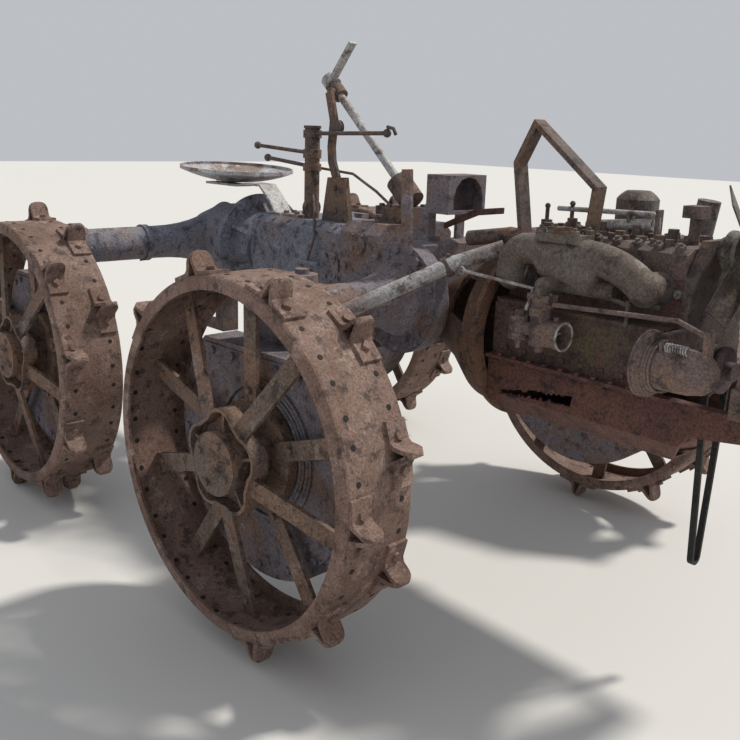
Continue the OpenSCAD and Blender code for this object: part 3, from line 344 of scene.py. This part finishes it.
def ring_x(x, y, z, r, count):
    """Points of a circle whose axis is along X."""
    return [(x, y + r * math.cos(a), z + r * math.sin(a)) for a in around(count)]


# Wheels

RIM_R = 482.6
RIM_T = 8
RIM_W = 216
LUG_T = 9
LUG_INSET = 40
LUG_PITCH = 18
LUG_STATIONS = 20
FIRST_OUTER_LUG = 189
FIRST_INNER_LUG = 171
FRONT_LUG_TURN = -13
BOLT_SPREAD = 5
HOLE_R = 7.5
HOLE_SKIN = 0.4
LOBED_RING_R = 128
INNER_SPOKE_R = 176
# Numbers of the lugs that each wheel still has, in its outer and inner row
LUGS = {"front_right": ([3, 4, 5, 7, 8, 9], [3, 5, 6, 7]),
        "front_left": ([0, 1, 2, 4, 5, 6, 7, 9], [0, 1, 3, 4, 6, 7, 8, 9]),
        "rear_right": ([0, 1, 2, 3, 4, 5, 6, 9], [0, 2, 3, 4, 6, 7, 8, 9]),
        "rear_left": ([0, 1, 2, 3, 4, 6, 7, 8, 9], [0, 1, 2, 3, 5, 6, 7, 8, 9])}


def wheel_space(name):
    """Space of a wheel: X and Y in its plane, Z outwards, its outer face at Z = 0."""
    front, left = name.startswith("front"), name.endswith("left")
    x = FRONT_AXLE_X if front else REAR_TUBE_X
    place = Matrix.Translation((x, -FACE_Y, 0)) @ Matrix.Rotation(math.radians(90), 4, "X")
    if left:
        place = Matrix.Scale(-1, 4, (0, 1, 0)) @ place
    if front:
        pin = Matrix.Translation((FRONT_TUBE_X, KINGPIN_Y if left else -KINGPIN_Y, 0))
        place = pin @ Matrix.Rotation(STEER_REST, 4, "Z") @ pin.inverted() @ place
    return CHASSIS @ place


def polar(r, angle, z):
    a = math.radians(angle)
    return Vector((r * math.cos(a), r * math.sin(a), z))


def make_wheel(name):
    """Lug bolts, near-black discs of painted shade in the empty holes of missing lugs, the bolts of spokes and
    hub, and the seal rings.
    """
    front = name.startswith("front")
    turn = FRONT_LUG_TURN if front else 0
    space = wheel_space(name)
    bolts = Piece("lug_bolts_" + name, "rim", "rim_steel", "wheel_" + name, space)
    # Thin near-black discs at both faces of the rim in each empty lug hole: painted shade standing in for the
    # open hole
    holes = Piece("rim_hole_shades_" + name, "hole", "rim_steel", "wheel_" + name, space)
    for row, (first, z) in enumerate(((FIRST_OUTER_LUG, -LUG_INSET), (FIRST_INNER_LUG, LUG_INSET - RIM_W))):
        for k in range(LUG_STATIONS):
            middle = first + turn + LUG_PITCH * k
            has_lug = k % 2 == 0 and k // 2 in LUGS[name][row]
            for angle, square in ((middle - BOLT_SPREAD, True), (middle + BOLT_SPREAD, False)):
                out = polar(1, angle, 0)
                if not has_lug:
                    for r in (RIM_R + HOLE_SKIN, RIM_R - RIM_T - HOLE_SKIN):
                        holes.rod(polar(r - HOLE_SKIN, angle, z), polar(r + HOLE_SKIN, angle, z), HOLE_R, 10)
                    continue
                at = polar(RIM_R + LUG_T, angle, z)
                if square:
                    bolts.nut(at, out, 14, 9, 4)
                else:
                    bolts.nut(at, out, 12, 7, 12)
                bolts.nut(polar(RIM_R - RIM_T, angle, z), -out, 12, 9, 6)
    bolts.done()
    holes.done()
    spokes = Piece("spoke_bolts_" + name, "spoke", "spoke_steel", "wheel_" + name, space)
    for k in range(5):
        outer, inner = 54 + 72 * k, 18 + 72 * k
        spokes.nut(polar(LOBED_RING_R, outer, -37), (0, 0, 1), 10, 8)
        spokes.nut(polar(RIM_R - 60, outer, -88), (0, 0, 1), 9, 6, 10)
        spokes.nut(polar(INNER_SPOKE_R, inner, -100), (0, 0, 1), 10, 8)
        spokes.nut(polar(RIM_R - 50, inner, -101), (0, 0, 1), 9, 6, 10)
    spokes.tube([polar(LOBED_RING_R, a, -38) for a in range(0, 360, 20)], 4, 6, True)
    spokes.done()
    case = "front_knuckle_" + name.removeprefix("front_") if front else "chassis"
    seal = Piece("seal_rings_" + name, "grey", "rusty_iron", case, space)
    for r, z in ((158, -142), (184, -143)):
        seal.tube([polar(r, a, z) for a in range(0, 360, 10)], 4, 6, True)
    seal.done()


# Engine

HEAD_TOP = 584
STUD_ROW_Y = 102
BLOCK_SIDE = -125
CRANKCASE_SIDE = -182
EXHAUST_Y = -191
OUTLET_Y = EXHAUST_Y - 2
OUTLET_X = 470
CARB_X = 462
CARB_Y = -255
CARB_Z = 345
FLOAT_X = CARB_X - 69
GOVERNOR_Y = -268
GOVERNOR_Z = 332
SPRING_Y = GOVERNOR_Y - 26
SPRING_Z = 384
LINK_Y = -182
FRAME_SIDE = -190
ROD_EYE = (173, 467)
ROD_Y = -250


def make_head_fittings():
    nuts = Piece("head_nuts", "manifold", "rusty_iron")
    for i in range(9):
        x = 275 + 59 * i
        nuts.stud((x, -STUD_ROW_Y, HEAD_TOP - 6), (0, -0.4, 1), 13, 13)
        nuts.stud((x + 20, STUD_ROW_Y, HEAD_TOP - 6), (0, 0.4, 1), 13, 13)
        nuts.nut((x + 26, -36, HEAD_TOP), (0, 0, 1), 12, 12)
        nuts.nut((x + 10, 40, HEAD_TOP), (0, 0, 1), 12, 12)
    nuts.done()
    plugs = Piece("head_plugs", "dark", "rusty_iron")
    for i in range(4):
        x = 320 + 116 * i
        plugs.rod((x, -68, HEAD_TOP - 2), (x, -68, HEAD_TOP + 12), 24, 24)
        plugs.nut((x, -68, HEAD_TOP + 12), (0, 0, 1), 15, 10)
    for x, top in ((262, 645), (347, 657)):
        plugs.rod((x, 0, HEAD_TOP - 2), (x, 0, HEAD_TOP + 22), 16, 12)
        plugs.rod((x, 0, HEAD_TOP + 20), (x, 0, top), 6, 10)
        plugs.ball((x, 0, top), 8)
    plugs.done()
    pipes = Piece("head_pipes", "bright", "bright_steel")
    pipes.tube([(300, 0, 641), (450, 0, 645), (602, 0, 649), (616, 0, 640), (618, 0, 590)], 7)
    pipes.rod((404, 0, 604), (604, 0, 622), 15, 16)
    pipes.done()
    brackets = Piece("pipe_brackets", "manifold", "rusty_iron")
    for x, top in ((535, 652), (618, 662)):
        brackets.box((x - 4, -14, HEAD_TOP - 2), (x + 4, 14, top))
        brackets.box((x - 14, -18, HEAD_TOP - 2), (x + 14, 18, HEAD_TOP + 6))
        brackets.stud((x, -8, HEAD_TOP + 5), (0, 0, 1), 7, 6)
    brackets.rod((420, 0, HEAD_TOP - 2), (420, 0, 606), 12, 12)
    brackets.done(bevel=2)


def make_manifold_fittings():
    body = Piece("manifold_body", "manifold", "manifold_iron")
    body.slab([(345, 560), (352, 530), (392, 516), (414, 488), (440, 476), (505, 474), (545, 452), (566, 456),
               (580, 480), (594, 512), (606, 540), (590, 566), (520, 574), (400, 574)], -226, -158)
    body.done(bevel=14)
    flange = Piece("outlet_flange", "orange", "manifold_iron")
    flange.rod((OUTLET_X, OUTLET_Y, 594), (OUTLET_X, OUTLET_Y, 606), 34, 24)
    flange.tube([(OUTLET_X + 30 * math.cos(a), OUTLET_Y + 26 * math.sin(a), 606) for a in around(20)],
                5, 8, True)
    flange.done(bevel=1.5)
    studs = Piece("manifold_studs", "manifold", "manifold_iron")
    for x, y in ((418, -224), (522, -224), (418, -164), (522, -164)):
        studs.stud((x, y, 597), (0, 0, 1), 13, 12)
    for x, z in ((352, 522), (590, 466), (655, 470), (770, 478)):
        studs.stud((x, BLOCK_SIDE - 2, z), (0, -1, 0), 12, 14)
    for x, z in ((318, 452), (548, 476), (700, 446)):
        studs.box((x - 28, BLOCK_SIDE - 12, z - 14), (x + 28, BLOCK_SIDE, z + 14))
        studs.nut((x, BLOCK_SIDE - 12, z), (0, -1, 0), 13, 10)
    studs.done(bevel=1.5)


def make_carburettor_fittings():
    body = Piece("carburettor_fittings", "brown", "manifold_iron")
    for dx in (-26, 26):
        body.stud((CARB_X + dx, CARB_Y, 434), (0, 0, 1), 9, 8)
        body.nut((CARB_X + dx, CARB_Y, 418), (0, 0, -1), 9, 7)
    body.rod((CARB_X, CARB_Y - 34, 402), (CARB_X, CARB_Y + 34, 402), 6)
    body.box((CARB_X - 6, CARB_Y - 42, 392), (CARB_X + 30, CARB_Y - 34, 412))
    body.ball((CARB_X + 24, CARB_Y - 40, 402), 8)
    for a in around(6):
        body.nut((FLOAT_X + 24 * math.cos(a), CARB_Y + 24 * math.sin(a), 378), (0, 0, 1), 5, 4, 10)
    body.rod((FLOAT_X, CARB_Y, 376), (FLOAT_X, CARB_Y, 392), 14, 16)
    body.rod((FLOAT_X, CARB_Y, 304), (FLOAT_X, CARB_Y, 290), 7)
    body.rod((CARB_X, CARB_Y, 310), (CARB_X, CARB_Y, 292), 13, 6)
    body.rod((512, CARB_Y, 380), (512, CARB_Y, 391), 7)
    body.tube([(FLOAT_X, CARB_Y + 26, 352), (360, CARB_Y + 40, 350), (330, -200, 350)], 5)
    body.done(bevel=1.5)
    # A near-black disc across the carburettor's intake: painted shade inside its throat
    throat = Piece("intake_shade_disc", "hole", "manifold_iron")
    throat.rod((CARB_X + 13, CARB_Y, CARB_Z), (CARB_X + 14, CARB_Y, CARB_Z), 30.5, 24)
    throat.done()
    vane = Piece("choke_plate", "bright", "manifold_iron")
    vane.tube(ring_x(538, CARB_Y, CARB_Z, 35.5, 28), 3.4, 8, True)
    vane.box((500, CARB_Y - 27, CARB_Z - 2), (502.5, CARB_Y + 27, CARB_Z + 2))
    vane.rod((506, CARB_Y - 34, CARB_Z), (506, CARB_Y + 34, CARB_Z), 3.5)
    vane.done()


def make_engine_linkage():
    strap = Piece("upper_channel", "frame", "frame_steel")
    strap.slab([(-82, 549), (-82, 567), (44, 619), (149, 632), (149, 614), (52, 601)], -66, -54)
    strap.done(bevel=1.5)
    link = Piece("engine_linkage", "manifold", "rusty_iron")
    link.slab([(606, 446), (672, 434), (676, 444), (610, 458)], LINK_Y - 4, LINK_Y + 4)
    link.rod((668, LINK_Y, 452), (668, LINK_Y, 392), 6)
    link.ball((668, LINK_Y, 392), 9)
    link.rod((668, LINK_Y, 440), (668, BLOCK_SIDE, 440), 7)
    link.rod((612, LINK_Y, 452), (612, BLOCK_SIDE, 452), 7)
    link.done(bevel=1)


def make_governor_fittings():
    spring = Piece("governor_spring", "bright", "rusty_iron")
    coils, steps, length, coil_r = 9, 12, 56, 10
    spring.tube([(846 + length * i / (coils * steps), SPRING_Y + coil_r * math.cos(math.tau * i / steps),
                  SPRING_Z + coil_r * math.sin(math.tau * i / steps)) for i in range(coils * steps + 1)],
                2.2, 6)
    spring.done()
    parts = Piece("governor_fittings", "brown", "rusty_iron")
    parts.rod((836, SPRING_Y, SPRING_Z), (916, SPRING_Y, SPRING_Z), 4)
    parts.box((832, GOVERNOR_Y - 34, 350), (840, GOVERNOR_Y - 8, 398))
    parts.rod((936, GOVERNOR_Y - 14, 430), (936, GOVERNOR_Y + 6, 430), 9)
    for k in range(5):
        a = math.radians(36 + 72 * k)
        parts.nut((806, GOVERNOR_Y + 66 * math.cos(a), GOVERNOR_Z + 66 * math.sin(a)), (1, 0, 0), 9, 8)
    for x, r in ((788, 77), (812, 66), (826, 60)):
        parts.tube(ring_x(x, GOVERNOR_Y, GOVERNOR_Z, r, 32), 3.5, 8, True)
    parts.done(bevel=1.5)
    rods = Piece("throttle_rods", "bright", "dark_steel")
    eye_x, eye_z = ROD_EYE
    rods.tube([(eye_x, ROD_Y, eye_z), (300, ROD_Y, 460), (427, ROD_Y, 453), (440, CARB_Y - 36, 404)], 4.5)
    rods.tube([(eye_x + 9 * math.cos(a), ROD_Y, eye_z + 9 * math.sin(a)) for a in around(14)], 3.5, 8, True)
    rods.done()


def make_frame_fittings():
    parts = Piece("frame_fittings", "frame", "frame_steel")
    parts.slab([(246, 226), (246, 118), (252, 108), (282, 104), (286, 116), (280, 224)], -198, -189)
    for i in range(10):
        parts.nut((290 + 52 * i, -202, 240), (0, 0, 1), 9, 7)
        parts.nut((290 + 52 * i, 202, 240), (0, 0, 1), 9, 7)
    for z in (132, 168, 204):
        parts.nut((264, -198, z), (0, -1, 0), 9, 7)
        parts.nut((246, -120, z - 60), (-1, 0, 0), 9, 7)
    for i in range(5):
        parts.nut((330 + 100 * i, FRAME_SIDE, 214), (0, -1, 0), 6, 4, 10)
    parts.done(bevel=1)
    make_shreds()
    seam = Piece("crankcase_fittings", "block", "rusty_iron")
    seam.box((262, CRANKCASE_SIDE - 4, 384), (772, CRANKCASE_SIDE + 4, 396))
    seam.tube([(300, -184, 300), (312, -184, 376), (340, -184, 386)], 5)
    for i in range(8):
        seam.nut((300 + 62 * i, CRANKCASE_SIDE, 262), (0, -1, 0), 8, 6)
    seam.rod((700, CRANKCASE_SIDE, 296), (700, CRANKCASE_SIDE - 8, 296), 26, 24)
    seam.nut((700, CRANKCASE_SIDE - 8, 296), (0, -1, 0), 12, 9)
    for x, z in ((268, 330), (268, 290)):
        seam.nut((x, CRANKCASE_SIDE, z), (0, -1, 0), 9, 7)
    seam.done(bevel=1)


# Edges of the frame's rusted hole, each with the way its shreds point
HOLE_EDGES = (((290, 140), (406, 163), -1), ((406, 163), (535, 176), -1), ((292, 128), (530, 146), 1))
HOLE_MIDDLE_X = 420
HOLE_REACH = 260
SHRED_ROOT = 4
SHRED_DEPTH = 10.88


def make_shreds():
    """Rusted shreds of the frame's side in its hole, longest in the middle."""
    shreds = Piece("frame_shreds", "frame", "frame_steel")
    chance = random.Random(4)
    for (x0, z0), (x1, z1), way in HOLE_EDGES:
        x = x0 + 14
        while x < x1 - 16:
            wide = chance.uniform(5, 12)
            deep = chance.uniform(3, SHRED_DEPTH * (1 - abs(x - HOLE_MIDDLE_X) / HOLE_REACH))
            z = z0 + (z1 - z0) * (x - x0) / (x1 - x0)
            root = z - SHRED_ROOT * way
            tip = (x + chance.uniform(-wide, wide) / 2, z + deep * way)
            shreds.slab([(x - wide, root), (x + wide, root), tip], FRAME_SIDE + 1, FRAME_SIDE + 7)
            x += chance.uniform(9, 22)
    shreds.done(smooth=False)


# Clutch housing, transmission and axles

BELL_Z = 285
BELL_BOLT_R = 249
AXLE_BOLT_R = 150
AXLE_FLANGE_Z = 345
COVER_BOLT_R = 95
COVER_Z = 375
COLLAR_BOLT_R = 67
COLLAR_Z = 380
SIDE_COVER_BOLTS = ((-650, 346), (-650, 384), (-612, 418), (-560, 416), (-512, 412), (-512, 346), (-560, 342),
                    (-610, 340))


def make_case_fittings():
    ring = Piece("bell_bolts", "orange", "orange_iron")
    for k in range(20):
        a = math.radians(9 + 18 * k)
        y, z = BELL_BOLT_R * math.cos(a), BELL_Z + BELL_BOLT_R * math.sin(a)
        if z > 250 or abs(y) > 210:
            ring.nut((230, y, z), (-1, 0, 0), 10, 8)
    ring.done()
    bolts = Piece("case_bolts", "case", "rusty_iron")
    for side in (-1, 1):
        for k in range(10):
            a = math.radians(18 + 36 * k)
            x, z = FRONT_TUBE_X + AXLE_BOLT_R * math.cos(a), AXLE_FLANGE_Z + AXLE_BOLT_R * math.sin(a)
            bolts.nut((x, side * 240, z), (0, side, 0), 13, 11)
    for z in (240, 300, 360, 420, 480):
        for side in (-1, 1):
            bolts.nut((-464, side * 150, z), (-1, 0, 0), 12, 10)
    for x in (-150, -120):
        bolts.nut((x, -104, 522), (0, 0, 1), 11, 9)
    for x, z in ((-386, 468), (-344, 468), (-386, 510), (-344, 510)):
        bolts.nut((x, -172, z - 6), (0, -1, 0), 6, 5, 10)
    for x, z in ((-425, 300), (-425, 400), (-300, 262), (-200, 250)):
        bolts.nut((x, -170, z), (0, -1, 0), 12, 9)
    bolts.done()
    grey = Piece("rear_case_bolts", "grey", "grey_iron")
    for k in range(8):
        a = math.radians(22.5 + 45 * k)
        grey.nut((-1022, COVER_BOLT_R * math.cos(a), COVER_Z + COVER_BOLT_R * math.sin(a)), (-1, 0, 0), 9, 8)
    for x, z in SIDE_COVER_BOLTS:
        grey.nut((x, -142, z), (0, -1, 0), 7, 6)
    for i in range(6):
        for side in (-1, 1):
            grey.nut((-990 + 90 * i, side * 118, 510), (0, side * 0.7, 0.7), 10, 8)
    grey.done()
    collars = Piece("tube_collars", "case", "rusty_iron")
    for side in (-1, 1):
        for k in range(6):
            a = math.radians(30 + 60 * k)
            x, z = REAR_TUBE_X + COLLAR_BOLT_R * math.cos(a), COLLAR_Z + COLLAR_BOLT_R * math.sin(a)
            collars.nut((x, side * 398, z), (0, side, 0), 6, 5)
    collars.done()
    clamp = Piece("side_tube_collar", "dark", "dark_steel")
    clamp.rod((118, -262, 466), (130, -252, 476), 30, 20)
    clamp.nut((124, -256, 500), (0, 0, 1), 8, 8)
    clamp.done(bevel=2)


# Seat and controls

SEAT_LINE_Y = -60
LEVER_POST_X = -752


def make_control_fittings():
    rods = Piece("control_rods", "dark", "dark_steel")
    rods.tube([(LEVER_POST_X, SEAT_LINE_Y, 640), (-700, -88, 560), (-620, -150, 470), (-620, -182, 388)], 5)
    rods.tube([(-360, SEAT_LINE_Y, 850), (-330, SEAT_LINE_Y, 845), (-318, SEAT_LINE_Y, 826)], 6)
    rods.tube([(LEVER_POST_X, -20, 700), (-560, -30, 690), (-420, -46, 640), (-330, SEAT_LINE_Y, 600)], 5)
    rods.rod((-764, SEAT_LINE_Y, 560), (-740, SEAT_LINE_Y, 560), 34, 20)
    for low, high, r in ((838, 848, 31), (690, 716, 33), (735, 766, 33), (805, 833, 33)):
        rods.rod((LEVER_POST_X, SEAT_LINE_Y, low), (LEVER_POST_X, SEAT_LINE_Y, high), r, 20)
    rods.done(bevel=1.5)
    bolts = Piece("seat_bolts", "dark", "dark_steel")
    for x in (-816, -880):
        for y in (-78, -42):
            bolts.nut((x, y, 531), (0, 0, 1), 11, 9)
    for x in (-1290, -1370):
        bolts.nut((x, SEAT_LINE_Y, 622), (0, 0, 1), 12, 8, 16)
    bolts.nut((-614, -56, 560), (0, -1, 0), 11, 10)
    bolts.nut((-614, -62, 640), (0, -1, 0), 10, 9)
    for x in (-384, -290):
        for y in (-50, 50):
            bolts.nut((x, y, 596), (0, 0, 1), 10, 8)
    bolts.done()


FLOOR_HALF = 30
SKY_STRENGTH = 0.55
SUN_STRENGTH = 3.2
SUN_WAY = (-0.25, -0.75, -1.1)


def make_floor():
    material, _, _, shader = new_material("floor")
    shader.inputs["Base Color"].default_value = (0.62, 0.61, 0.59, 1)
    shader.inputs["Roughness"].default_value = 0.95
    mesh = bpy.data.meshes.new("floor")
    mesh.from_pydata([(FLOOR_HALF * x, FLOOR_HALF * y, 0) for x, y in ((-1, -1), (1, -1), (1, 1), (-1, 1))], [],
                     [(0, 1, 2, 3)])
    floor = bpy.data.objects.new("floor", mesh)
    mesh.materials.append(material)
    bpy.context.scene.collection.objects.link(floor)


def make_light():
    world = bpy.data.worlds.new("studio")
    world.use_nodes = True
    sky = world.node_tree.nodes["Background"]
    sky.inputs["Color"].default_value = (0.92, 0.95, 1.0, 1)
    sky.inputs["Strength"].default_value = SKY_STRENGTH
    bpy.context.scene.world = world
    sun = bpy.data.lights.new("key", "SUN")
    sun.energy = SUN_STRENGTH
    sun.angle = math.radians(6)
    sun.color = (1.0, 0.96, 0.88)
    lamp = bpy.data.objects.new("key", sun)
    lamp.rotation_euler = Vector(SUN_WAY).to_track_quat("-Z", "Y").to_euler()
    bpy.context.scene.collection.objects.link(lamp)


make_camera()
LOOKS = make_materials()
paint_nodes(LOOKS)
for wheel in LUGS:
    make_wheel(wheel)
make_head_fittings()
make_manifold_fittings()
make_carburettor_fittings()
make_engine_linkage()
make_governor_fittings()
make_frame_fittings()
make_case_fittings()
make_control_fittings()
make_floor()
make_light()

bpy.context.scene.view_settings.view_transform = "Standard"
